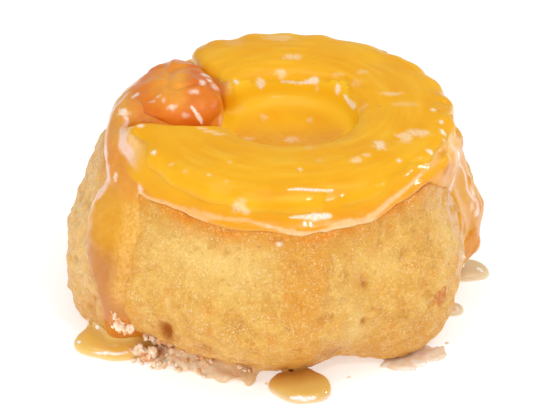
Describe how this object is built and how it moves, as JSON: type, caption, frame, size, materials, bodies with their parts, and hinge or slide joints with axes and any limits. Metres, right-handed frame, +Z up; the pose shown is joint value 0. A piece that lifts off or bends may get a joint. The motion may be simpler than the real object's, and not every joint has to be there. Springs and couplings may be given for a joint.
{
  "type": "pineapple upside down cake",
  "caption": "Small fluted sponge cake turned out upside down, topped with a slice of pineapple, a cherry and syrup that has run down its side.",
  "frame": {"origin": "centre of the cake's base, on the surface that it stands on", "axes": "+Z up; -Y towards the viewer of the picture; +X to the viewer's right"},
  "size_m": [0.106, 0.1022, 0.0544],
  "materials": {
    "sponge": "open golden crumb, wet with syrup at the top",
    "pineapple": "glazed",
    "cherry": "glazed and wrinkled",
    "syrup": "clear caramel"
  },
  "bodies": {
    "root": {"cake": "sponge", "pineapple_slice": "pineapple", "cherry": "cherry", "syrup_pool_front": "syrup", "syrup_pool_left": "syrup", "syrup_pool_right": "syrup", "syrup_pool_small": "syrup"}
  },
  "joints": []
}
